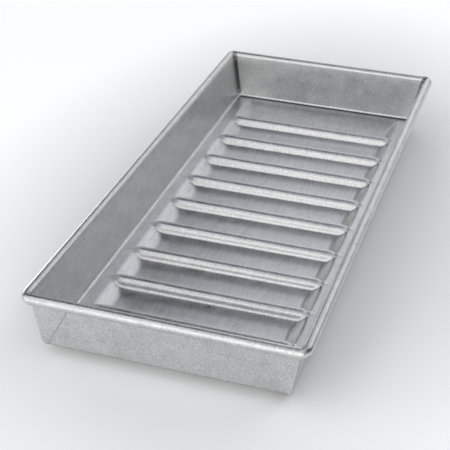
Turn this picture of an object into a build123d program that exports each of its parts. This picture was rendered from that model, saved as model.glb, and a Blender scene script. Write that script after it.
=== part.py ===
"""A steel roll pan: one folded sheet with a corrugated base and a rim rolled over a wire.

Frame: millimetres, +Z up. The origin is under the middle of the pan, on the surface that
the undersides of its troughs rest on. +Y runs along the pan's length.
"""
import os
from math import cos, hypot, radians, sin, sqrt, tan

from build123d import *

# Overall sizes
PAN_LENGTH = 387.3          # over the rolled rim, along Y
PAN_WIDTH = 169.5           # over the rolled rim, along X
WALL_HEIGHT = 37.1          # underside of the flat border of the base to the top of the rim
SHEET = 0.7                 # thickness of the steel sheet

# Rolled rim
BEAD_DIAMETER = 6.4         # outside of the roll
WIRE_DIAMETER = 4.9         # rod inside the roll
RIM_CORNER_RADIUS = 8.7     # outer edge of the rim, in plan
CURL_END_ANGLE = 138.0      # how far the roll goes on below its outer side, in degrees
WIRE_GAP = 0.5              # between the two ends of the rod

# Walls, to their outer faces where they meet the base
FOOT_LENGTH = 371.1
FOOT_WIDTH = 148.4
FOOT_CORNER_RADIUS = 3.3
TOP_CORNER_RADIUS = 3.0     # at the height of the wire's middle
BEND_RADIUS = 3.1           # outside of the bend between base and wall

# Troughs and ridges pressed into the base
TROUGH_COUNT = 10
PITCH = 35.36               # from one ridge to the next, along Y
TROUGH_DEPTH = 5.0          # below the flat border
TROUGH_LAND = 3.0           # half the width of the flat strip along the middle of a trough
RIDGE_HEIGHT = 2.25         # above the flat border
RIDGE_TOP_RADIUS = 4.5
RIDGE_FLANK_ANGLE = 72.0    # from the horizontal
TROUGH_HALF_SPAN = 63.1     # middle of the pan to where a trough's end reaches the border
TROUGH_END_ANGLE = 32.0
RIDGE_HALF_SPAN = 64.4      # middle of the pan to the tip of a ridge
RIDGE_END_ANGLE = 24.0

# Corners folded flat against the outside of the end walls
FOLD_TOP_REACH = 54.6       # middle of the pan to the fold's inner edge, under the rim
FOLD_FOOT_REACH = 70.6      # the same at its lowest point
FOLD_FOOT_HEIGHT = 3.1      # the fold's lowest point, above the underside of the border
FOLD_FOOT_INSET = 1.0       # its outer edge, inside the long wall's outer face at the foot
FOLD_TOP_OVERLAP = 0.3      # how far its top runs up into the underside of the roll

# Heights in the frame
BORDER_UNDERSIDE = TROUGH_DEPTH
BORDER_TOP = BORDER_UNDERSIDE + SHEET
RIM_TOP = BORDER_UNDERSIDE + WALL_HEIGHT
BEAD_RADIUS = BEAD_DIAMETER / 2
BEAD_HEIGHT = RIM_TOP - BEAD_RADIUS
WALL_TOP_LENGTH = PAN_LENGTH - 2 * BEAD_DIAMETER + 2 * SHEET
WALL_TOP_WIDTH = PAN_WIDTH - 2 * BEAD_DIAMETER + 2 * SHEET
BEAD_CORNER_RADIUS = RIM_CORNER_RADIUS - BEAD_RADIUS

# The pressed field of the base
FIELD_HALF_LENGTH = TROUGH_COUNT * PITCH / 2
CUT_HALF_WIDTH = RIDGE_HALF_SPAN + 2.0
CUT_HALF_LENGTH = FIELD_HALF_LENGTH + 3.0
BELOW_ALL = -10.0           # well under the pan

# A trough is a flat strip between two arcs that rise to the border's level at the ridges
RISE_RUN = PITCH / 2 - TROUGH_LAND
TROUGH_RADIUS = (RISE_RUN ** 2 + TROUGH_DEPTH ** 2) / (2 * TROUGH_DEPTH)


def level(offset):
    """Height of the border's face that lies `offset` of sheet below its top."""
    return BORDER_TOP - offset


def ridge_corner_points(offset):
    """Half a ridge, measured from its middle: its tangent point and its foot, at `offset`."""
    flank = radians(RIDGE_FLANK_ANGLE)
    top_radius = RIDGE_TOP_RADIUS - offset
    centre_z = BORDER_TOP + RIDGE_HEIGHT - RIDGE_TOP_RADIUS
    tangent = (top_radius * sin(flank), centre_z + top_radius * cos(flank))
    # the flank runs down and outwards until it meets the trough's arc
    arc_y = RISE_RUN
    arc_z = BORDER_TOP - TROUGH_DEPTH + TROUGH_RADIUS
    radius = TROUGH_RADIUS + offset
    along = (cos(flank), -sin(flank))
    gap = (tangent[0] - arc_y, tangent[1] - arc_z)
    half_b = gap[0] * along[0] + gap[1] * along[1]
    rest = gap[0] ** 2 + gap[1] ** 2 - radius ** 2
    step = -half_b + sqrt(half_b ** 2 - rest)
    foot = (tangent[0] + step * along[0], tangent[1] + step * along[1])
    return tangent, foot


def arc_height(run, offset):
    """Height of a trough's arc at `run` outwards from the edge of its flat strip."""
    radius = TROUGH_RADIUS + offset
    return BORDER_TOP - TROUGH_DEPTH + TROUGH_RADIUS - sqrt(radius ** 2 - run ** 2)


def trough_edges(middle, run_before, run_after, offset):
    """Arc, flat strip and arc of one trough, as edges in the Y-Z plane, from -Y to +Y."""
    floor_z = level(offset) - TROUGH_DEPTH

    def on_arc(side, run):
        return (0, middle + side * (TROUGH_LAND + run), arc_height(run, offset))

    left = (0, middle - TROUGH_LAND, floor_z)
    right = (0, middle + TROUGH_LAND, floor_z)
    return [
        ThreePointArc(on_arc(-1, run_before), on_arc(-1, run_before / 2), left),
        Line(left, right),
        ThreePointArc(right, on_arc(1, run_after / 2), on_arc(1, run_after)),
    ]


def ridge_edges(middle, offset):
    """Flank, rounded top and flank of one ridge, as edges in the Y-Z plane."""
    tangent, foot = ridge_corner_points(offset)
    crest = (0, middle, level(offset) + RIDGE_HEIGHT)
    near = (0, middle - tangent[0], tangent[1])
    far = (0, middle + tangent[0], tangent[1])
    return [
        Line((0, middle - foot[0], foot[1]), near),
        ThreePointArc(near, crest, far),
        Line(far, (0, middle + foot[0], foot[1])),
    ]


def corrugated_block(offset):
    """Everything under the pressed field's surface that lies `offset` into the sheet."""
    _, foot = ridge_corner_points(offset)
    run_to_ridge = PITCH / 2 - TROUGH_LAND - foot[0]
    border_drop = TROUGH_RADIUS - TROUGH_DEPTH + offset
    run_to_border = sqrt((TROUGH_RADIUS + offset) ** 2 - border_drop ** 2)
    edges = []
    for index in range(TROUGH_COUNT):
        middle = (index - (TROUGH_COUNT - 1) / 2) * PITCH
        first = index == 0
        last = index == TROUGH_COUNT - 1
        before = run_to_border if first else run_to_ridge
        after = run_to_border if last else run_to_ridge
        edges += trough_edges(middle, before, after, offset)
        if not last:
            edges += ridge_edges(middle + PITCH / 2, offset)
    start = edges[0] @ 0
    end = edges[-1] @ 1
    edges += [
        Line(end, (0, end.Y, BELOW_ALL)),
        Line((0, end.Y, BELOW_ALL), (0, start.Y, BELOW_ALL)),
        Line((0, start.Y, BELOW_ALL), start),
    ]
    section = make_face(Wire(edges))
    return extrude(section, amount=CUT_HALF_WIDTH, dir=(1, 0, 0), both=True)


def prism_along_length(half_outline):
    """A prism along Y whose X-Z section is the half outline and its mirror image."""
    right = [(x, 0, z) for x, z in half_outline]
    left = [(-x, 0, z) for x, z in reversed(half_outline)]
    section = make_face(Polyline(*right, *left, close=True))
    return extrude(section, amount=CUT_HALF_LENGTH, dir=(0, 1, 0), both=True)


def trough_ends(offset):
    """The space under the border's level that the troughs' sloping ends leave."""
    slope = radians(TROUGH_END_ANGLE)

    def reach(z):
        return TROUGH_HALF_SPAN + (z - BORDER_TOP) / tan(slope) + offset / sin(slope)

    floor_z = level(offset) - TROUGH_DEPTH - SHEET   # the ends' slope goes on below the floor
    return prism_along_length([(reach(floor_z), floor_z), (reach(level(offset)), level(offset))])


def ridge_ends(offset):
    """The space above the border's level that the ridges' sloping ends leave."""
    slope = radians(RIDGE_END_ANGLE)

    def reach(z):
        return RIDGE_HALF_SPAN - (z - BORDER_TOP) / tan(slope) - offset / sin(slope)

    crest_z = level(offset) + RIDGE_HEIGHT + SHEET
    return prism_along_length([(reach(level(offset)), level(offset)), (reach(crest_z), crest_z)])


def under_base(offset):
    """Everything under the base's surface that lies `offset` into the sheet."""
    depth = level(offset) - BELOW_ALL
    slab = Pos(0, 0, BELOW_ALL + depth / 2) * Box(2 * CUT_HALF_WIDTH, 2 * CUT_HALF_LENGTH, depth)
    block = corrugated_block(offset)
    wells = trough_ends(offset)
    field = Pos(0, 0, level(offset) - TROUGH_DEPTH) * Box(
        2 * CUT_HALF_WIDTH, block.bounding_box().size.Y, 2 * TROUGH_DEPTH
    )
    return slab - (wells & field) + (block & wells) + (block & ridge_ends(offset))


def pressed_base():
    """The base inside the flat border: troughs and ridges in sheet of one thickness."""
    return under_base(0) - under_base(SHEET)


def tapered_box(length, width, foot_radius, top_length, top_width, top_radius, foot_z):
    """A loft from a rounded rectangle at the base to one at the height of the roll."""
    foot = Pos(0, 0, foot_z) * RectangleRounded(width, length, foot_radius)
    top = Pos(0, 0, BEAD_HEIGHT) * RectangleRounded(top_width, top_length, top_radius)
    return loft([foot, top], ruled=True)


def bent_shell():
    """Base and walls in one sheet, with the bend between them and a hole for the pressed field."""
    outer = tapered_box(
        FOOT_LENGTH, FOOT_WIDTH, FOOT_CORNER_RADIUS,
        WALL_TOP_LENGTH, WALL_TOP_WIDTH, TOP_CORNER_RADIUS, BORDER_UNDERSIDE,
    )
    inner = tapered_box(
        FOOT_LENGTH - 2 * SHEET, FOOT_WIDTH - 2 * SHEET, FOOT_CORNER_RADIUS - SHEET,
        WALL_TOP_LENGTH - 2 * SHEET, WALL_TOP_WIDTH - 2 * SHEET, TOP_CORNER_RADIUS - SHEET,
        BORDER_TOP,
    )
    outer = fillet(outer.faces().sort_by(Axis.Z)[0].edges(), BEND_RADIUS)
    inner = fillet(inner.faces().sort_by(Axis.Z)[0].edges(), BEND_RADIUS - SHEET)
    hole = Pos(0, 0, BORDER_TOP) * Box(2 * CUT_HALF_WIDTH, 2 * CUT_HALF_LENGTH, 4 * SHEET)
    return outer - inner - hole


def rim_path():
    """The middle line of the roll, all round the pan."""
    outline = RectangleRounded(
        PAN_WIDTH - BEAD_DIAMETER, PAN_LENGTH - BEAD_DIAMETER, BEAD_CORNER_RADIUS
    )
    return Pos(0, 0, BEAD_HEIGHT) * outline.face().outer_wire()


def section_plane():
    """The X-Z plane across the roll, half way along the +X side."""
    return Plane(
        origin=((PAN_WIDTH - BEAD_DIAMETER) / 2, 0, BEAD_HEIGHT), x_dir=(1, 0, 0), z_dir=(0, -1, 0)
    )


def rim_curl():
    """The roll: from the top of the wall over the wire, round its outer side and under it."""
    end = radians(-CURL_END_ANGLE)
    inner_radius = BEAD_RADIUS - SHEET

    def at(radius, angle):
        return (radius * cos(angle), radius * sin(angle))

    top = radians(90)
    under = end / 2
    outline = Wire([
        Line((-BEAD_RADIUS, 0), (-inner_radius, 0)),
        ThreePointArc((-inner_radius, 0), (0, inner_radius), (inner_radius, 0)),
        ThreePointArc((inner_radius, 0), at(inner_radius, under), at(inner_radius, end)),
        Line(at(inner_radius, end), at(BEAD_RADIUS, end)),
        ThreePointArc(at(BEAD_RADIUS, end), at(BEAD_RADIUS, under), (BEAD_RADIUS, 0)),
        ThreePointArc((BEAD_RADIUS, 0), at(BEAD_RADIUS, top), (-BEAD_RADIUS, 0)),
    ])
    section = section_plane() * make_face(outline)
    return sweep(section, path=rim_path())


def pan_body():
    """The folded sheet: pressed base, flat border, walls and rolled rim."""
    return bent_shell() + pressed_base() + rim_curl()


def rim_wire():
    """The rod inside the roll, with its two ends meeting half way along the -X side."""
    section = section_plane() * Circle(WIRE_DIAMETER / 2)
    loop = sweep(section, path=rim_path())
    gap = Pos(-(PAN_WIDTH - BEAD_DIAMETER) / 2, 0, BEAD_HEIGHT) * Box(
        2 * BEAD_DIAMETER, WIRE_GAP, 2 * BEAD_DIAMETER
    )
    return loop - gap


def corner_fold(side_x, end_y):
    """Two layers of sheet folded flat against the end wall: a triangle beside one corner."""
    rise = BEAD_HEIGHT - BORDER_UNDERSIDE
    lean_y = (WALL_TOP_LENGTH - FOOT_LENGTH) / 2
    lean_x = (WALL_TOP_WIDTH - FOOT_WIDTH) / 2
    top_height = rise - BEAD_RADIUS + FOLD_TOP_OVERLAP
    corner_at_foot = FOOT_WIDTH / 2 - FOLD_FOOT_INSET
    corner_at_top = corner_at_foot + lean_x * top_height / rise
    tilt = hypot(rise, lean_y) / rise

    def on_wall(x, height):
        return (side_x * x, height * tilt)

    points = [
        on_wall(FOLD_FOOT_REACH, FOLD_FOOT_HEIGHT),
        on_wall(FOLD_TOP_REACH, top_height),
        on_wall(corner_at_top, top_height),
        on_wall(corner_at_foot + lean_x * FOLD_FOOT_HEIGHT / rise, FOLD_FOOT_HEIGHT),
    ]
    wall_plane = Plane(
        origin=(0, end_y * FOOT_LENGTH / 2, BORDER_UNDERSIDE),
        x_dir=(1, 0, 0),
        z_dir=(0, -rise, end_y * lean_y),
    )
    up_sign = 1 if wall_plane.y_dir.Z > 0 else -1
    outline = Polyline(*[(x, up_sign * z) for x, z in points], close=True)
    outwards = Vector(0, end_y * rise, -lean_y).normalized()
    return extrude(wall_plane * make_face(outline), amount=2 * SHEET, dir=outwards)


def main():
    os.makedirs("parts", exist_ok=True)
    nodes = {"pan_body": pan_body(), "rim_wire": rim_wire()}
    for end_name, end_y in (("front", -1), ("back", 1)):
        for side_name, side_x in (("left", -1), ("right", 1)):
            nodes[f"corner_fold_{end_name}_{side_name}"] = corner_fold(side_x, end_y)
    for name, shape in nodes.items():
        export_step(shape, f"parts/{name}.step")
        size = shape.bounding_box().size
        print(f"{name}: {size.X:.1f} x {size.Y:.1f} x {size.Z:.1f} mm, {len(shape.solids())} solid(s)")


main()
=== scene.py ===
"""Looks of a steel roll pan: folded sheet with a corrugated base, rolled rim and folded corners.

Every shape is worked out in millimetres with numpy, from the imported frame's own boxes and from the
sizes below, and put into its mesh in metres. +Z is up and +Y runs along the pan's length.
"""
import logging
import math
from dataclasses import dataclass
from enum import Enum
from typing import Any, Iterable, Union

import bpy
import numpy as np
from mathutils import Matrix, Vector


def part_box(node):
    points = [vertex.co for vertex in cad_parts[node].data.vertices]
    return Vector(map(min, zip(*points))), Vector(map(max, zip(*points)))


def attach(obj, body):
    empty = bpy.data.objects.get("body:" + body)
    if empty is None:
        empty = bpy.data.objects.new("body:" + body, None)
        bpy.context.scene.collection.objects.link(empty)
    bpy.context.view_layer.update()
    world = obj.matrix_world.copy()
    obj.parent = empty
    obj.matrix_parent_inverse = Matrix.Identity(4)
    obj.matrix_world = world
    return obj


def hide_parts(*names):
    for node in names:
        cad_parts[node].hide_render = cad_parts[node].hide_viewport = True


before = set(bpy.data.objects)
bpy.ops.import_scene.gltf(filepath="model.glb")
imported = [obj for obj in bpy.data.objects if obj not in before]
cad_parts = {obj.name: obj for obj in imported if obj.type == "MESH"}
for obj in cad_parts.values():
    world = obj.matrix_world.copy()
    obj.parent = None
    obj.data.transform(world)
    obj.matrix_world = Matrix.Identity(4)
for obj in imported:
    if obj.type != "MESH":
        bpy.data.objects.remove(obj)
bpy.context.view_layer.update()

MM = 0.001
LOG = logging.getLogger("roll_pan")
SEAM = "painted_seam_shade"  # the pan's own attribute: painted shade in the folded corners' slots and in the end walls' bends
Number = Union[float, np.ndarray]


# ---------------------------------------------------------------- shapes worked out with numpy


def soft_max(a: Number, b: Number, reach: float) -> Number:
    """The greater of two heights, with the corner between them rounded.

    Where the two differ by less than `reach`, a parabola that is tangent to both replaces them.

    Args:
        a: First height or array of heights.
        b: Second height or array of heights.
        reach: Difference below which the corner is rounded, in the heights' units.

    Returns:
        The rounded maximum.
    """
    share = np.clip(0.5 + 0.5 * (a - b) / reach, 0, 1)
    return share * a + (1 - share) * b + reach * share * (1 - share)


def soft_min(a: Number, b: Number, reach: float) -> Number:
    """The lesser of two heights, rounded in the way of soft_max."""
    return -soft_max(-np.asarray(a), -np.asarray(b), reach)


def stitched(
    points: np.ndarray, quads: np.ndarray, triangles: np.ndarray, name: str
) -> bpy.types.Object:
    """A smooth-shaded mesh object from arrays of points in millimetres and of faces.

    Args:
        points: Array of n points, one row each.
        quads: Four point numbers a row.
        triangles: Three point numbers a row.
        name: The object's name.

    Returns:
        The new object, linked to the scene.
    """
    mesh = bpy.data.meshes.new(name)
    mesh.from_pydata((points * MM).tolist(), [], quads.tolist() + triangles.tolist())
    mesh.validate()
    mesh.shade_smooth()
    piece = bpy.data.objects.new(name, mesh)
    bpy.context.scene.collection.objects.link(piece)
    return piece


def spaced(*stops: tuple[float, int]) -> np.ndarray:
    """Positions along a line: each stop is an end point and the number of steps up to it.

    Args:
        stops: (position, steps) pairs. The first pair's steps aren't used.

    Returns:
        All the positions, in order.
    """
    runs = [np.linspace(a[0], b[0], b[1], endpoint=False) for a, b in zip(stops[:-1], stops[1:])]
    return np.concatenate(runs + [np.array([stops[-1][0]])])


@dataclass
class PressedBase:
    """The pressed field of the base: ten troughs between nine ridges. Sizes in millimetres.

    The grid's lines are closer within `end_zone` of a trough's ends, and within `ridge_zone` of a
    ridge's spine.
    """

    count: int = 10
    pitch: float = 35.36
    trough_depth: float = 5.0
    trough_land: float = 3.0
    trough_half_span: float = 63.1
    trough_end_slope: float = math.tan(math.radians(34.0))
    trough_end_round: float = 1.4
    ridge_height: float = 2.25
    ridge_radius: float = 4.5
    ridge_flank: float = math.radians(72.0)
    ridge_half_span: float = 64.4
    ridge_end_stretch: float = 0.55
    shoulder: float = 0.5
    end_trough_stretch: float = 4.2
    end_shoulder: float = 1.0
    end_crease: float = 1.1
    crease: float = 0.35
    end_zone: float = 13.0
    end_steps: int = 18
    middle_steps: int = 14
    ridge_zone: float = 6.6
    ridge_steps: int = 24
    trough_steps: int = 9

    def trough_section(self, across: np.ndarray) -> np.ndarray:
        """Height of a trough: a flat strip, then an arc that rises to the border's level.

        The arc is tangent to the strip, and its radius is such that it has risen by the trough's
        depth half a pitch from the trough's middle.

        Args:
            across: Distances from the trough's middle line.

        Returns:
            Heights above the flat border, negative in the trough.
        """
        run_to_border = self.pitch / 2 - self.trough_land
        radius = (run_to_border**2 + self.trough_depth**2) / (2 * self.trough_depth)
        steepest_run = 0.95 * radius
        run = np.clip(np.abs(across) - self.trough_land, 0, steepest_run)
        return radius - self.trough_depth - np.sqrt(radius**2 - run**2)

    def ridge_section(self, out: np.ndarray) -> np.ndarray:
        """Height of a ridge: a round top, then a straight flank tangent to it.

        Args:
            out: Distances from the ridge's spine.

        Returns:
            Heights above the flat border; they go on falling beyond the ridge's foot.
        """
        edge = self.ridge_radius * math.sin(self.ridge_flank)
        low = self.ridge_height - self.ridge_radius
        top = low + np.sqrt(self.ridge_radius**2 - np.minimum(out, edge) ** 2)
        return top - np.maximum(out - edge, 0) * math.tan(self.ridge_flank)

    def heights(self, x: np.ndarray, y: np.ndarray) -> np.ndarray:
        """Height of the sheet's top face over the whole field.

        A trough is the higher of its section and of a surface that slopes up to the border at its
        end, whose edge in plan draws in towards the ridges with the cube of the distance from the
        trough's middle. The outer halves of the end troughs are stretched, so that they rise to
        the foot of the end walls. A ridge is its section swept along a spine, where distance past
        the spine's end counts less, which draws the end out into a rounded taper. The higher of
        the two is the sheet.

        Args:
            x: Distances across the pan.
            y: Distances along the pan.

        Returns:
            Heights above the flat border.
        """
        half_field = self.count * self.pitch / 2
        lane = np.clip(np.floor((y + half_field) / self.pitch), 0, self.count - 1)
        from_trough = y + half_field - (lane + 0.5) * self.pitch
        outward = np.abs(y) - half_field + self.pitch / 2
        squeeze = self.pitch / (self.pitch + 2 * self.end_trough_stretch)
        from_trough = np.where(outward > 0, outward * squeeze, from_trough)
        draw_in = self.trough_end_round * np.clip(np.abs(from_trough) / (self.pitch / 2), 0, 1) ** 3
        slope_up = (np.abs(x) + draw_in - self.trough_half_span) * self.trough_end_slope
        slope_up = soft_min(slope_up, 0 * x, self.end_shoulder)
        section = soft_min(self.trough_section(from_trough), 0 * x, self.shoulder)
        trough = soft_max(section, slope_up, self.end_crease)

        line = np.clip(np.round(y / self.pitch), 1 - self.count / 2, self.count / 2 - 1)
        foot = self.ridge_foot()
        spine_end = self.ridge_half_span - foot / self.ridge_end_stretch
        past_end = np.maximum(np.abs(x) - spine_end, 0) * self.ridge_end_stretch
        ridge = self.ridge_section(np.hypot(y - line * self.pitch, past_end))
        return soft_max(trough, ridge, self.crease)

    def ridge_foot(self) -> float:
        """Half the ridge's width where its flank meets the level of the border.

        Returns:
            The distance from the ridge's spine.
        """
        edge = self.ridge_radius * math.sin(self.ridge_flank)
        drop = self.ridge_height - self.ridge_radius * (1 - math.cos(self.ridge_flank))
        return edge + drop / math.tan(self.ridge_flank)

    def lines_across(self, half_width: float) -> np.ndarray:
        """Positions across the pan at which the field is worked out, closer at the ends.

        Args:
            half_width: Half the field's width.

        Returns:
            The positions, from left to right.
        """
        plain = self.trough_half_span - self.end_zone
        return spaced(
            (-half_width, 0), (-plain, self.end_steps), (plain, self.middle_steps),
            (half_width, self.end_steps),
        )

    def lines_along(self, half_length: float) -> np.ndarray:
        """Positions along the pan at which the field is worked out, closer at the ridges.

        Args:
            half_length: Half the field's length.

        Returns:
            The positions, from the front to the back.
        """
        half_field = self.count * self.pitch / 2
        outer, inner = half_field + 1.5, half_field - 2.5
        stops = [(-half_length, 0), (-outer, 2), (-inner, 3)]
        for number in range(self.count):
            start = -half_field + number * self.pitch
            stops.append((start + self.pitch - self.ridge_zone, self.trough_steps))
            if number < self.count - 1:
                stops.append((start + self.pitch + self.ridge_zone, self.ridge_steps))
        stops += [(inner, 2), (outer, 3), (half_length, 2)]
        return spaced(*stops)


@dataclass
class RimAndWalls:
    """Border, bend, wall and roll as one profile carried round the pan. Sizes in millimetres.

    `slot_rise` is how much of the fold's slot the lines at its foot have, and the crease numbers how
    much painted shade darkens the lines in the bend from the end wall's foot upwards.
    """

    length: float
    width: float
    rim_top: float
    sheet: float = 0.7
    base_drop: float = 5.0
    bead_radius: float = 3.2
    rim_corner: float = 8.7
    curl_end: float = math.radians(-138.0)
    foot_length: float = 371.1
    foot_width: float = 148.4
    foot_corner: float = 3.3
    bend_radius: float = 3.1
    bend_steps: int = 8
    wall_steps: int = 5
    curl_steps: int = 22
    corner_steps: int = 10
    slot_width: float = 1.1
    slot_depth: float = 1.3
    slot_squareness: float = 0.5
    slot_rise: tuple[float, ...] = (0.15, 0.6, 0.9)
    slot_fade_steps: int = 7
    # painted shade in the end walls' bends, darkening the lines from the wall's foot upwards
    crease_painted_shade: tuple[float, ...] = (0.4, 0.8, 0.9, 0.9, 0.6, 0.2)
    least_bend_radius: float = 0.4
    least_radius: float = 0.08

    @property
    def border_top(self) -> float:
        """Height of the flat border's top face."""
        return self.base_drop + self.sheet

    def side_profile(self, foot: float, bead_centre: float) -> tuple[np.ndarray, np.ndarray]:
        """The inner face on one side of the pan, as distances outwards and heights.

        It is the border, an arc up to the wall's lean, the wall as a straight line tangent to that
        arc and to the roll, and the roll's outer face as an arc about the wire.

        Args:
            foot: Half the pan's size to the outer face of the wall at its foot.
            bead_centre: Half the pan's size to the wire's middle.

        Returns:
            Distances outwards from the middle of the pan, and heights.
        """
        inner_bend = self.bend_radius - self.sheet
        top_z = self.rim_top - self.bead_radius
        bend_x = foot - self.sheet - inner_bend
        bend_z = self.border_top + inner_bend
        # the wall touches both circles and passes between them, so it is turned from the line
        # that joins their centres by the angle whose sine is the radii's sum over that length
        gap_x, gap_z = bead_centre - bend_x, top_z - bend_z
        span = math.hypot(gap_x, gap_z)
        lean = math.atan2(gap_z, gap_x) + math.asin((inner_bend + self.bead_radius) / span)
        bend = np.linspace(0, lean, self.bend_steps + 1)
        bend_out = bend_x + inner_bend * np.sin(bend)
        bend_up = bend_z - inner_bend * np.cos(bend)
        curl = np.linspace(lean + math.pi / 2, self.curl_end, self.curl_steps + 1)
        curl_out = bead_centre + self.bead_radius * np.cos(curl)
        curl_up = top_z + self.bead_radius * np.sin(curl)
        part = np.linspace(0, 1, self.wall_steps + 1)[1:-1]
        wall_out = bend_out[-1] + part * (curl_out[0] - bend_out[-1])
        wall_up = bend_up[-1] + part * (curl_up[0] - bend_up[-1])
        out = np.concatenate([bend_out, wall_out, curl_out])
        return out, np.concatenate([bend_up, wall_up, curl_up])

    def corner_radii(self, out: np.ndarray) -> np.ndarray:
        """Plan radius of each line of the profile at the pan's corners.

        Args:
            out: The profile's distances outwards on the pan's long sides.

        Returns:
            One radius for each line: it shrinks up the wall, and follows the roll round the rim.
        """
        bend, walls = self.bend_steps, self.bend_steps + self.wall_steps
        foot = self.foot_corner - self.sheet
        crown = self.rim_corner - 2 * self.bead_radius
        radii = np.empty(len(out))
        in_bend = foot - (out[bend] - out[: bend + 1])
        radii[: bend + 1] = np.maximum(in_bend, self.least_bend_radius)
        radii[bend:walls] = np.linspace(foot, crown, self.wall_steps, endpoint=False)
        radii[walls:] = crown + out[walls:] - (self.width / 2 - 2 * self.bead_radius)
        return np.maximum(radii, self.least_radius)

    def ring(
        self, across: np.ndarray, along: np.ndarray,
        half_x: float, half_y: float, radius: float, slot: float,
    ) -> np.ndarray:
        """One closed rounded rectangle, its points shared out as the field's grid lines are.

        Where the corners are folded, each rounded corner turns into a narrow slot beside the long
        wall, half of a super-ellipse that reaches out past the end wall.

        Args:
            across: The field's grid lines across, from -1 to 1.
            along: The field's grid lines along, from -1 to 1.
            half_x: Half the rectangle's width.
            half_y: Half the rectangle's length.
            radius: Radius of its corners.
            slot: How much of the fold's slot there is, from 0 to 1.

        Returns:
            Points in plan, counter-clockwise from the corner at -X, -Y.
        """
        flat_x, flat_y = half_x - radius, half_y - radius
        turn = np.linspace(0, math.pi / 2, self.corner_steps + 1)[1:-1]
        arc = np.stack([flat_x + radius * np.sin(turn), -flat_y - radius * np.cos(turn)], 1)
        swing, reach = np.cos(2 * turn), np.sin(2 * turn)
        width = self.slot_width / 2
        narrow = half_x - width - width * np.sign(swing) * np.abs(swing) ** self.slot_squareness
        deep = -half_y - self.slot_depth * reach**self.slot_squareness
        fold = np.stack([narrow, deep], 1)
        corner = (1 - slot) * arc + slot * fold
        near = np.stack([across * flat_x, np.full(len(across), -half_y)], 1)
        right = np.stack([np.full(len(along), half_x), along * flat_y], 1)
        half = np.concatenate([near, corner, right, corner[::-1] * (1, -1)])
        return np.concatenate([half, -half])

    def slot_shares(self) -> np.ndarray:
        """How much of the fold's slot each line of the profile has: all of it up the wall.

        It starts on the bend's last line but one, and fades from the third line of the roll on.

        Returns:
            One share for each line of the profile, from 0 to 1.
        """
        walls = self.bend_steps + self.wall_steps
        shares = np.zeros(walls + self.curl_steps + 1)
        start, fade = self.bend_steps - 1, walls + 2
        full = start + len(self.slot_rise)
        shares[start:full] = self.slot_rise
        shares[full:fade] = 1
        shares[fade : fade + self.slot_fade_steps] = np.linspace(0.9, 0.1, self.slot_fade_steps)
        return shares

    def crease_shares(self) -> np.ndarray:
        """How much painted shade darkens each line of the profile at the foot of the end walls, in
        the bend.

        Returns:
            One value for each line of the profile, from 0 to 1.
        """
        shares = np.zeros(self.bend_steps + self.wall_steps + self.curl_steps + 1)
        shares[: len(self.crease_painted_shade)] = self.crease_painted_shade
        return shares

    def painted_seam_shade(self, across: int, along: int) -> np.ndarray:
        """How much painted shade each point of the rings has: dark in the slots and in the end
        walls' bends.

        Across a slot the painted shade is a half sine wave raised to a small power, so that it stays
        dark nearly to the slot's edges.

        Args:
            across: Number of grid lines across.
            along: Number of grid lines along.

        Returns:
            One value for each point of all the rings, from 0 to 1.
        """
        spread = 0.3
        slot = np.sin(np.linspace(0, math.pi, self.corner_steps + 1)[1:-1]) ** spread
        slots = np.concatenate([np.zeros(across), slot, np.zeros(along), slot])
        end = np.concatenate([np.ones(across), np.zeros(along + 2 * len(slot))])
        # painted shade: dark in the fold slots and in the end walls' bends
        painted_shade = np.outer(self.slot_shares(), np.tile(slots, 2))
        return (painted_shade + np.outer(self.crease_shares(), np.tile(end, 2))).ravel()

    def outer_wall(self, foot: float, bead_centre: float, up: np.ndarray) -> np.ndarray:
        """Distance outwards of a wall's outer face at the heights `up`.

        Args:
            foot: Half the pan's size to the outer face of the wall at its foot.
            bead_centre: Half the pan's size to the wire's middle.
            up: Heights.

        Returns:
            Distances outwards from the middle of the pan.
        """
        out_line, up_line = self.side_profile(foot, bead_centre)
        low, high = self.bend_steps, self.bend_steps + self.wall_steps
        run, rise = out_line[high] - out_line[low], up_line[high] - up_line[low]
        tilt = math.hypot(run, rise) / rise
        return out_line[low] + (up - up_line[low]) * run / rise + self.sheet * tilt

    def side_share(self, across: np.ndarray, along: np.ndarray) -> np.ndarray:
        """How far each point of a ring belongs to the ends and not to the long sides.

        Args:
            across: The field's grid lines across.
            along: The field's grid lines along.

        Returns:
            0 on the long sides, 1 at the ends, and a line from one to the other round the corners.
        """
        turn = np.linspace(0, 1, self.corner_steps + 1)[1:-1]
        half = np.concatenate([np.ones(len(across)), 1 - turn, np.zeros(len(along)), turn])
        return np.concatenate([half, half])


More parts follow.
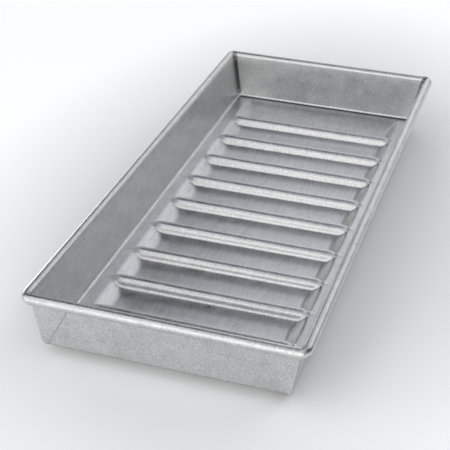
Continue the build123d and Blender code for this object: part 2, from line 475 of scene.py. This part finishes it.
@dataclass
class PanSheet:
    """The one folded sheet: pressed base, border, walls and rolled rim."""

    base: PressedBase
    sides: RimAndWalls
    field_half_width: float = 66.6
    field_half_length: float = 179.6
    bow: float = 0.4
    waves: int = 9
    wave_height: float = 0.07
    wave_lengths: tuple[float, float] = (22, 60)
    roll_fade: float = 4.0
    border_waviness: float = 0.4
    wall_waviness: float = 4.0
    seed: int = 4

    def build(self) -> bpy.types.Object:
        """Makes the sheet: the field's grid, and rings stitched on from its edge to the curl's end.

        Returns:
            The sheet, with its thickness given by a Solidify modifier.
        """
        x = self.base.lines_across(self.field_half_width)
        y = self.base.lines_along(self.field_half_length)
        grid_x, grid_y = np.meshgrid(x, y)
        grid_z = self.sides.border_top + self.base.heights(grid_x, grid_y)
        grid = np.stack([grid_x, grid_y, grid_z], -1).reshape(-1, 3)
        number = np.arange(grid.shape[0]).reshape(len(y), len(x))
        inner_quads = np.stack(
            [number[:-1, :-1], number[:-1, 1:], number[1:, 1:], number[1:, :-1]], -1
        ).reshape(-1, 4)

        across, along = x / self.field_half_width, y / self.field_half_length
        out_x, up_x = self.sides.side_profile(
            self.sides.foot_width / 2, self.sides.width / 2 - self.sides.bead_radius
        )
        out_y, up_y = self.sides.side_profile(
            self.sides.foot_length / 2, self.sides.length / 2 - self.sides.bead_radius
        )
        radii = self.sides.corner_radii(out_x)
        share = self.sides.side_share(across, along)
        lines = zip(out_x, out_y, radii, self.sides.slot_shares(), up_x, up_y)
        rings = [
            np.column_stack([
                self.sides.ring(across, along, half_x, half_y, radius, slot),
                (1 - share) * side_up + share * end_up,
            ])
            for half_x, half_y, radius, slot, side_up, end_up in lines
        ]
        size = len(share)
        loops = grid.shape[0] + np.arange(len(rings) * size).reshape(len(rings), size)
        loops = np.vstack([self.edge_of(number), loops])
        here, there = loops[:-1], loops[1:]
        quads = np.stack(
            [here, there, np.roll(there, -1, 1), np.roll(here, -1, 1)], -1
        ).reshape(-1, 4)
        pinched = quads[:, 0] == quads[:, 3]
        points = self.settle(np.concatenate([grid] + rings))
        sheet = stitched(
            points, np.concatenate([inner_quads, quads[~pinched]]), quads[pinched][:, :3],
            "pan_sheet",
        )
        # painted shade for the seam colour: none on the field, dark in the fold slots and the end
        # walls' bends
        painted_shade = np.concatenate([np.zeros(len(grid)), self.sides.painted_seam_shade(len(x), len(y))])
        sheet.data.attributes.new(SEAM, "FLOAT", "POINT").data.foreach_set("value", painted_shade)
        wall = sheet.modifiers.new("sheet_thickness", "SOLIDIFY")
        wall.thickness = self.sides.sheet * MM
        wall.offset = -1
        wall.use_even_offset = True
        wall.thickness_clamp = 0
        return sheet

    def settle(self, points: np.ndarray) -> np.ndarray:
        """Moves points by the small unevenness of hand-folded sheet.

        The long walls bow inwards, as a parabola along the pan and in step with height. The sheet
        also moves by a few sine waves in random directions, under a tenth of a millimetre high.
        They fade out at the roll and on the floors of the troughs, so the pan keeps its size.

        Args:
            points: The sheet's points.

        Returns:
            The points, moved.
        """
        x, y, z = points.T
        border, rim = self.sides.border_top, self.sides.rim_top
        height = np.clip((z - border) / (rim - border), 0, 1)
        bow = self.bow * np.clip(1 - (2 * y / self.sides.length) ** 2, 0, 1) * height
        moved = points.copy()
        moved[:, 0] -= np.sign(x) * bow * np.clip(np.abs(x) / self.field_half_width, 0, 1)
        draw = np.random.default_rng(self.seed)
        under_roll = rim - 2 * self.sides.bead_radius
        off_floor = (z - self.sides.sheet) / self.sides.base_drop
        waviness = self.border_waviness * off_floor + height * self.wall_waviness
        ease = np.clip((under_roll - z) / self.roll_fade, 0, 1) * np.clip(waviness, 0, 1)
        about_a_turn = 6.3
        for _ in range(self.waves):
            direction = draw.normal(size=3)
            length = np.linalg.norm(direction) * draw.uniform(*self.wave_lengths)
            direction *= 2 * math.pi / length
            push = draw.normal(size=3) * self.wave_height / math.sqrt(self.waves)
            wave = np.sin(points @ direction + draw.uniform(0, about_a_turn))
            moved += wave[:, None] * ease[:, None] * push
        return moved

    def edge_of(self, number: np.ndarray) -> np.ndarray:
        """The grid's outer points in a ring's order, with each corner point repeated.

        Args:
            number: The grid's point numbers, rows along the pan.

        Returns:
            Point numbers, as many as a ring has points.
        """
        extra = self.sides.corner_steps - 1
        near, right = number[0], number[:, -1]
        far, left = number[-1, ::-1], number[::-1, 0]
        pads = [np.full(extra, corner) for corner in (near[-1], right[-1], far[-1], left[-1])]
        return np.concatenate([near, pads[0], right, pads[1], far, pads[2], left, pads[3]])


class End(Enum):
    """The pan's two ends: the front one faces -Y."""

    FRONT = -1
    BACK = 1


class Side(Enum):
    """The pan's two long sides."""

    LEFT = -1
    RIGHT = 1


@dataclass
class CornerFold:
    """Surplus sheet of one corner, two layers folded flat on the end wall. Sizes in millimetres.

    The fold's inner face lies `sink` inside the end wall, and its top `overlap` above the
    underside of the roll. `edge_round` and `hem_round` are parts of its thickness, and their limits
    are parts of its width. `foot_cut` is how much of its lowest section's width is cut away, and
    its thickness starts from `foot_thickness` of the whole and grows by `thickening` times the
    share of the height climbed.
    """

    sides: RimAndWalls
    end: End
    side: Side
    foot_reach: float = 70.9
    top_reach: float = 54.6
    foot_height: float = 1.6
    sink: float = 0.3
    overlap: float = 0.9
    edge_inset: float = 0.2
    edge_round: float = 0.8
    edge_round_limit: float = 0.4
    hem_round: float = 0.75
    hem_round_limit: float = 0.3
    foot_cut: float = 0.55
    foot_thickness: float = 0.25
    thickening: float = 9.0
    hem_steps: int = 6
    flat_steps: int = 8
    rise_steps: int = 14

    def section(self, edge: float, hem: float, lift: float) -> np.ndarray:
        """One level cut through the fold: round at the pan's corner, flat, then a round hem.

        Args:
            edge: Distance from the middle of the pan to the long wall's outer face.
            hem: Distance from the middle of the pan to the diagonal hem.
            lift: How far the fold stands off the end wall.

        Returns:
            A closed loop of (distance across, distance off the end wall).
        """
        edge_radius = min(self.edge_round * lift, self.edge_round_limit * (edge - hem))
        hem_radius = min(self.hem_round * lift, self.hem_round_limit * (edge - hem))
        turn = np.linspace(0, math.pi / 2, self.hem_steps + 1)
        outer = (edge - edge_radius, lift - edge_radius)
        corner = outer + edge_radius * np.stack([np.cos(turn), np.sin(turn)], 1)
        corner[:, 1] = np.maximum(corner[:, 1], -self.sink)
        inner = (hem + hem_radius, lift - hem_radius)
        fold = inner + hem_radius * np.stack([-np.sin(turn), np.cos(turn)], 1)
        part = np.linspace(0, 1, self.flat_steps + 1)[1:-1, None]
        flat = corner[-1] + part * (fold[0] - corner[-1])
        foot = np.array([[hem, -self.sink], [edge - self.edge_inset, -self.sink]])
        return np.concatenate([corner, flat, fold, foot])

    def build(self) -> bpy.types.Object:
        """Makes the fold: its sections carried up the end wall, with both ends closed.

        Returns:
            The fold.
        """
        top_height = self.sides.rim_top - 2 * self.sides.bead_radius + self.overlap
        low = self.sides.base_drop + self.foot_height
        up = np.linspace(low, top_height, self.rise_steps + 1)
        wall = self.sides.outer_wall(
            self.sides.foot_length / 2, self.sides.length / 2 - self.sides.bead_radius, up
        )
        edge = self.sides.outer_wall(
            self.sides.foot_width / 2, self.sides.width / 2 - self.sides.bead_radius, up
        )
        climb = (up - low) / (top_height - low)
        edge[0] = edge[1] - self.foot_cut * (edge[1] - self.foot_reach)
        hem = self.foot_reach + climb * (self.top_reach - self.foot_reach)
        full = 2 * self.sides.sheet
        lift = full * np.clip(self.foot_thickness + climb * self.thickening, 0, 1)
        loops = np.stack([self.section(e, h, t) for e, h, t in zip(edge, hem, lift)])
        size = loops.shape[1]
        points = np.stack([
            self.side.value * loops[:, :, 0],
            self.end.value * (wall[:, None] + loops[:, :, 1]),
            np.repeat(up[:, None], size, 1),
        ], -1).reshape(-1, 3)
        number = np.arange(len(points)).reshape(len(up), size)
        here, there = number[:-1], number[1:]
        quads = np.stack(
            [here, np.roll(here, -1, 1), np.roll(there, -1, 1), there], -1
        ).reshape(-1, 4)
        middle = np.stack([points[number[0]].mean(0), points[number[-1]].mean(0)])
        rounds = [number[0], number[-1][::-1]]
        triangles = np.concatenate([
            np.stack([np.full(size, len(points) + which), np.roll(loop, -1), loop], 1)
            for which, loop in enumerate(rounds)
        ])
        if self.side.value * self.end.value < 0:
            quads, triangles = quads[:, ::-1], triangles[:, ::-1]
        name = f"corner_flap_{self.end.name}_{self.side.name}".lower()
        return stitched(np.concatenate([points, middle]), quads, triangles, name)


# ---------------------------------------------------------------- shader maths


class Value:
    """One output of a material's nodes, with Python's operators as its maths.

    An operator on two values adds a Math node, so `1 - mask * 0.3` builds the nodes that work it
    out. Plain numbers go into the node's own sockets.
    """

    def __init__(self, nodes: "NodeBook", socket: bpy.types.NodeSocket) -> None:
        """Wraps `socket`, an output of one of the nodes in `nodes`."""
        self.nodes = nodes
        self.socket = socket

    def _math(self, operation: str, first: "Operand", second: "Operand") -> "Value":
        """A Math node of that operation on the two operands."""
        return self.nodes.add("ShaderNodeMath", {"operation": operation}, {0: first, 1: second})

    def __add__(self, other: "Operand") -> "Value":
        """The sum."""
        return self._math("ADD", self, other)

    __radd__ = __add__

    def __mul__(self, other: "Operand") -> "Value":
        """The product."""
        return self._math("MULTIPLY", self, other)

    __rmul__ = __mul__

    def __sub__(self, other: "Operand") -> "Value":
        """This value less the other."""
        return self._math("SUBTRACT", self, other)

    def __rsub__(self, other: "Operand") -> "Value":
        """The other less this value."""
        return self._math("SUBTRACT", other, self)


Operand = Union[Value, float]


class NodeBook:
    """The nodes of one material, added one at a time by type, settings and inputs."""

    def __init__(self, name: str) -> None:
        """Starts a material with a Principled shader and its output.

        Args:
            name: The material's name.
        """
        self.material = bpy.data.materials.new(name)
        self.material.use_nodes = True
        self.tree = self.material.node_tree
        self.shader = next(n for n in self.tree.nodes if n.type == "BSDF_PRINCIPLED")

    def add(
        self, kind: str, settings: dict[str, Any], inputs: dict[Any, Any], output: Any = 0
    ) -> Value:
        """Adds a node.

        Args:
            kind: The node's type, such as ShaderNodeTexNoise.
            settings: Its properties, which are set first; a ColorRamp's "stops" are
                (position, colour) pairs.
            inputs: Values or links for its sockets, by name or number.
            output: Name or number of the output to return.

        Returns:
            The chosen output.
        """
        node = self.tree.nodes.new(kind)
        for key, setting in settings.items():
            if key == "stops":
                self._stops(node.color_ramp, setting)
            else:
                setattr(node, key, setting)
        for key, value in inputs.items():
            self.feed(node.inputs[key], value)
        return Value(self, node.outputs[output])

    def blend(self, share: Value, first: Any, second: Any) -> Value:
        """Adds a Mix node of two colours.

        Args:
            share: 0 for the first colour, 1 for the second.
            first: A colour, as four numbers or a Value.
            second: The other colour.

        Returns:
            The mixed colour.
        """
        colour_a, colour_b, mixed = 6, 7, 2
        inputs = {"Factor": share, colour_a: first, colour_b: second}
        return self.add("ShaderNodeMix", {"data_type": "RGBA"}, inputs, mixed)

    def noise(self, place: Value, size: float, detail: float, rough: float) -> Value:
        """Adds a noise whose patches are about `size` millimetres across.

        Args:
            place: The coordinates it reads.
            size: Width of its patches in millimetres.
            detail: How many finer octaves it has.
            rough: How strong those octaves are.

        Returns:
            The noise, from 0 to 1 about a middle of 0.5.
        """
        return self.add(
            "ShaderNodeTexNoise", {"noise_dimensions": "3D"},
            {"Vector": place, "Scale": 1 / (size * MM), "Detail": detail, "Roughness": rough},
            "Fac",
        )

    def relief(self, height: Value, depth: float) -> None:
        """Feeds the shader's normal with a bump.

        Args:
            height: The bump's height, with no unit.
            depth: What one unit of height measures, in millimetres.
        """
        bump = self.add(
            "ShaderNodeBump", {}, {"Strength": 1.0, "Distance": depth * MM, "Height": height}
        )
        self.feed(self.shader.inputs["Normal"], bump)

    def feed(self, socket: bpy.types.NodeSocket, value: Any) -> None:
        """Links a Value to a socket, or sets the socket's own value.

        Args:
            socket: The socket.
            value: A Value, or a plain number, colour or vector.
        """
        if isinstance(value, Value):
            self.tree.links.new(value.socket, socket)
        else:
            socket.default_value = value

    @staticmethod
    def _stops(ramp: bpy.types.ColorRamp, stops: Iterable[tuple[float, tuple]]) -> None:
        """Gives a colour ramp its stops.

        Args:
            ramp: The ramp, which starts with two.
            stops: At least two (position, colour) pairs.
        """
        stops = list(stops)
        while len(ramp.elements) < len(stops):
            ramp.elements.new(0.5)
        for element, (position, colour) in zip(ramp.elements, stops):
            element.position = position
            element.color = colour


# ---------------------------------------------------------------- finishes


@dataclass(frozen=True)
class SatinSteel:
    """Aluminised sheet steel: satin, with a fine mottled grain, cloudy patches and rolling marks.

    Sizes are in millimetres. A noise's tone and rough numbers are how far it moves the colour from
    dark to light and the roughness.
    """

    name: str = "satin_steel"
    dark: tuple[float, float, float] = (0.42, 0.42, 0.42)
    light: tuple[float, float, float] = (0.78, 0.78, 0.78)
    # dark colour of the painted shade in the corner slots and the end walls' bends
    painted_shade_colour: tuple[float, float, float] = (0.05, 0.05, 0.055)
    roughness: float = 0.35
    grain_size: float = 0.8
    grain_tone: float = 1.9
    grain_rough: float = 0.3
    cloud_size: float = 9.0
    cloud_tone: float = 0.6
    cloud_rough: float = 0.2
    cloud_relief: float = 1.5
    streak_size: float = 1.6
    streak_tone: float = 0.6
    streak_squash: float = 0.12
    relief: float = 0.018

    def material(self) -> bpy.types.Material:
        """The finish as a material.

        Three noises share the work: grain a millimetre across, clouds of a finger's width, and
        streaks drawn out along the pan. Their sum shades the colour, and painted shade in the seams
        and the end walls' bends darkens it. Grain and clouds also roughen the satin and raise its
        fine relief.

        Returns:
            The material.
        """
        book = NodeBook(self.name)
        shader = book.shader.inputs
        place = book.add("ShaderNodeTexCoord", {}, {}, "Object")
        grain = book.noise(place, self.grain_size, detail=3.0, rough=0.6) - 0.5
        clouds = book.noise(place, self.cloud_size, detail=3.0, rough=0.55) - 0.5
        drawn_out = book.add(
            "ShaderNodeMapping", {}, {"Vector": place, "Scale": (1.0, self.streak_squash, 1.0)}
        )
        streaks = book.noise(drawn_out, self.streak_size, detail=2.0, rough=0.5) - 0.5
        mottle = grain * self.grain_tone + clouds * self.cloud_tone + streaks * self.streak_tone
        clean = book.blend(mottle + 0.5, (*self.dark, 1.0), (*self.light, 1.0))
        # painted shade: the seam attribute blends the colour towards the dark seam colour
        painted_shade = book.add("ShaderNodeAttribute", {"attribute_name": SEAM}, {}, "Fac")
        book.feed(shader["Base Color"], book.blend(painted_shade, clean, (*self.painted_shade_colour, 1.0)))
        rough = clouds * self.cloud_rough + grain * self.grain_rough + self.roughness
        book.feed(shader["Roughness"], rough)
        shader["Metallic"].default_value = 1.0
        book.relief(grain + clouds * self.cloud_relief, self.relief)
        return book.material


@dataclass(frozen=True)
class DrawnWire:
    """Bright drawn steel rod, with fine scratches and a few dull patches."""

    name: str = "drawn_wire"
    dark: tuple[float, float, float] = (0.36, 0.355, 0.35)
    light: tuple[float, float, float] = (0.56, 0.555, 0.55)
    roughness: float = 0.3
    scratch_size: float = 0.4
    patch_size: float = 5.0
    patch_rough: float = 0.3
    relief: float = 0.008

    def material(self) -> bpy.types.Material:
        """The finish as a material: fine scratches over duller patches.

        Returns:
            The material.
        """
        book = NodeBook(self.name)
        shader = book.shader.inputs
        place = book.add("ShaderNodeTexCoord", {}, {}, "Object")
        scratches = book.noise(place, self.scratch_size, detail=2.0, rough=0.5)
        patches = book.noise(place, self.patch_size, detail=2.0, rough=0.5)
        tone = scratches * 0.5 + patches * 0.5
        book.feed(
            shader["Base Color"], book.blend(tone, (*self.dark, 1.0), (*self.light, 1.0))
        )
        book.feed(shader["Roughness"], (patches - 0.5) * self.patch_rough + self.roughness)
        shader["Metallic"].default_value = 1.0
        book.relief(scratches, self.relief)
        return book.material


@dataclass(frozen=True)
class MattFloor:
    """The studio's pale floor, lit from within except close round the pan, where the dimmed glow is
    a painted shadow.
    """

    name: str = "matt_floor"
    colour: tuple[float, float, float] = (0.95, 0.95, 0.95)
    roughness: float = 0.9
    glow: float = 0.3
    painted_shadow_half_width: float = 0.26
    painted_shadow_half_length: float = 0.5
    lit: float = 0.1
    unlit: float = 0.55

    def material(self) -> bpy.types.Material:
        """The finish as a material: the glow dims towards the pan over an ellipse round it, a
        painted soft shadow.

        Nearness is 0 at the ellipse's edge and 1 in its middle. The glow is whole up to a nearness
        of `lit`, and gone from `unlit` on.

        Returns:
            The material.
        """
        book = NodeBook(self.name)
        shader = book.shader.inputs
        place = book.add("ShaderNodeTexCoord", {}, {}, "Object")
        ellipse = book.add(
            "ShaderNodeMapping", {},
            {"Vector": place, "Scale": (1 / self.painted_shadow_half_width, 1 / self.painted_shadow_half_length, 1)},
        )
        nearness = book.add(
            "ShaderNodeTexGradient", {"gradient_type": "SPHERICAL"}, {"Vector": ellipse}, "Fac"
        )
        # painted shadow: the floor's glow fades to nothing close round the pan
        stops = [(self.lit, (1.0, 1.0, 1.0, 1.0)), (self.unlit, (0.0, 0.0, 0.0, 1.0))]
        glow = book.add("ShaderNodeValToRGB", {"stops": stops}, {"Fac": nearness})
        book.feed(shader["Base Color"], (*self.colour, 1.0))
        shader["Roughness"].default_value = self.roughness
        shader["Specular IOR Level"].default_value = 0.0
        shader["Emission Strength"].default_value = self.glow
        book.feed(shader["Emission Color"], glow)
        return book.material


# ---------------------------------------------------------------- studio


def direction(azimuth: float, elevation: float) -> Vector:
    """Unit vector that points away from the pan.

    Args:
        azimuth: Degrees round from -Y towards +X.
        elevation: Degrees above the floor.

    Returns:
        The vector.
    """
    turn, rise = math.radians(azimuth), math.radians(elevation)
    return Vector((
        math.sin(turn) * math.cos(rise), -math.cos(turn) * math.cos(rise), math.sin(rise)
    ))


def looking_back(away: Vector) -> Matrix:
    """The turn of a camera or light that looks back along `away`."""
    return (-away).to_track_quat("-Z", "Y").to_matrix().to_4x4()


@dataclass(frozen=True)
class SoftLight:
    """A rectangular soft light that faces the pan. Angles in degrees, sizes in metres."""

    name: str
    azimuth: float
    elevation: float
    brightness: float
    width: float = 0.67
    height: float = 0.55
    distance: float = 1.3
    tint: tuple[float, float, float] = (1.0, 1.0, 1.0)

    def hang(self) -> None:
        """Puts the light up. Its power in watts is its brightness times its area times pi."""
        away = direction(self.azimuth, self.elevation)
        data = bpy.data.lights.new(self.name, "AREA")
        data.shape = "RECTANGLE"
        data.size, data.size_y = self.width, self.height
        data.energy = self.brightness * math.pi * self.width * self.height
        data.color = self.tint
        light = bpy.data.objects.new(self.name, data)
        light.matrix_world = Matrix.Translation(away * self.distance) @ looking_back(away)
        bpy.context.scene.collection.objects.link(light)


@dataclass
class Studio:
    """Floor, soft lights and camera. Sizes in metres, angles in degrees."""

    floor_size: float = 6.0
    camera_azimuth: float = 17.68
    camera_elevation: float = 30.32
    camera_roll: float = 0.79
    camera_distance: float = 0.8384
    camera_target: tuple[float, float, float] = (-0.02648, 0.00615, -0.01159)
    lens: float = 95.1
    air: float = 0.02
    sky: tuple[float, float, float] = (0.94, 0.985, 1.06)

    def place_camera(self) -> None:
        """Puts the camera at its azimuth, elevation and distance from its target."""
        away = direction(self.camera_azimuth, self.camera_elevation)
        data = bpy.data.cameras.new("camera")
        data.lens = self.lens
        camera = bpy.data.objects.new("camera", data)
        bpy.context.scene.collection.objects.link(camera)
        roll = Matrix.Rotation(math.radians(self.camera_roll), 4, "Z")
        place = Matrix.Translation(Vector(self.camera_target) + away * self.camera_distance)
        camera.matrix_world = place @ looking_back(away) @ roll
        bpy.context.scene.camera = camera

    def lay_floor(self) -> None:
        """Lays a plain pale floor, which isn't part of the pan."""
        half = self.floor_size / 2
        mesh = bpy.data.meshes.new("floor")
        corners = [(-half, -half, 0), (half, -half, 0), (half, half, 0), (-half, half, 0)]
        mesh.from_pydata(corners, [], [(0, 1, 2, 3)])
        floor = bpy.data.objects.new("floor", mesh)
        bpy.context.scene.collection.objects.link(floor)
        mesh.materials.append(MattFloor().material())

    def build(self) -> None:
        """Makes the whole studio."""
        self.place_camera()
        self.lay_floor()
        world = bpy.data.worlds.new("studio_air")
        world.use_nodes = True
        background = next(n for n in world.node_tree.nodes if n.type == "BACKGROUND")
        background.inputs["Color"].default_value = (1, 1, 1, 1)
        background.inputs["Strength"].default_value = self.air
        bpy.context.scene.world = world
        for light in self.lights():
            light.hang()
        bpy.context.scene.view_settings.view_transform = "Standard"

    def lights(self) -> list[SoftLight]:
        """The soft lights, on rings round the pan at four heights, the last one overhead.

        Returns:
            The lights, not yet hung.
        """
        low, middle, high, top = 12, 36, 60, 84
        wide, medium, narrow = 0.87, 0.75, 0.6
        return [
            SoftLight("front_low", 0, low, 1.6),
            SoftLight("front_right_low", 30, low, 2.4),
            SoftLight("front_left_low", 330, low, 1.6),
            SoftLight("left_front_low", 300, low, 1.7),
            SoftLight("left_back_low", 240, low, 3.3),
            SoftLight("back_left_low", 210, low, 0.55),
            SoftLight("back_low", 180, low, 1.3),
            SoftLight("back_right_low", 150, low, 0.6),
            SoftLight("front", 0, middle, 1.6, width=wide),
            SoftLight("front_left", 315, middle, 1.1, width=wide),
            SoftLight("front_right", 45, middle, 0.8, width=wide),
            SoftLight("back_right", 135, middle, 1.1, width=wide),
            SoftLight("back", 180, middle, 0.95, width=wide, tint=self.sky),
            SoftLight("front_overhead", 0, high, 0.5, width=medium),
            SoftLight("left_overhead", 300, high, 1.3, width=medium, tint=self.sky),
            SoftLight("right_overhead", 60, high, 0.9, width=medium, tint=self.sky),
            SoftLight("back_right_overhead", 120, high, 1.2, width=medium, tint=self.sky),
            SoftLight("back_overhead", 180, high, 0.42, width=medium, tint=self.sky),
            SoftLight("overhead", 0, top, 0.5, width=narrow, tint=self.sky),
        ]


def put_on(piece: bpy.types.Object, finish: bpy.types.Material, replaced: str) -> None:
    """Gives a piece its finish, makes it stand for a CAD node and reports it.

    Args:
        piece: The new piece.
        finish: Its material.
        replaced: The CAD node that it stands for.
    """
    piece.data.materials.append(finish)
    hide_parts(replaced)
    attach(piece, "root")
    LOG.info("%s stands for %s, with %d points", piece.name, replaced, len(piece.data.vertices))


def main() -> None:
    """Builds the pan, its finishes and the studio, and reports each piece."""
    logging.basicConfig(level=logging.INFO)
    low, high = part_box("pan_body")
    sides = RimAndWalls(
        length=(high.y - low.y) / MM, width=(high.x - low.x) / MM, rim_top=high.z / MM
    )
    Studio().build()
    steel = SatinSteel().material()
    put_on(PanSheet(PressedBase(), sides).build(), steel, "pan_body")
    for end in End:
        for side in Side:
            flap = CornerFold(sides, end, side).build()
            put_on(flap, steel, f"corner_fold_{end.name}_{side.name}".lower())
    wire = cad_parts["rim_wire"]
    wire.data.materials.clear()
    wire.data.materials.append(DrawnWire().material())
    LOG.info("rim_wire keeps its CAD shape")


if __name__ == "__main__":
    main()
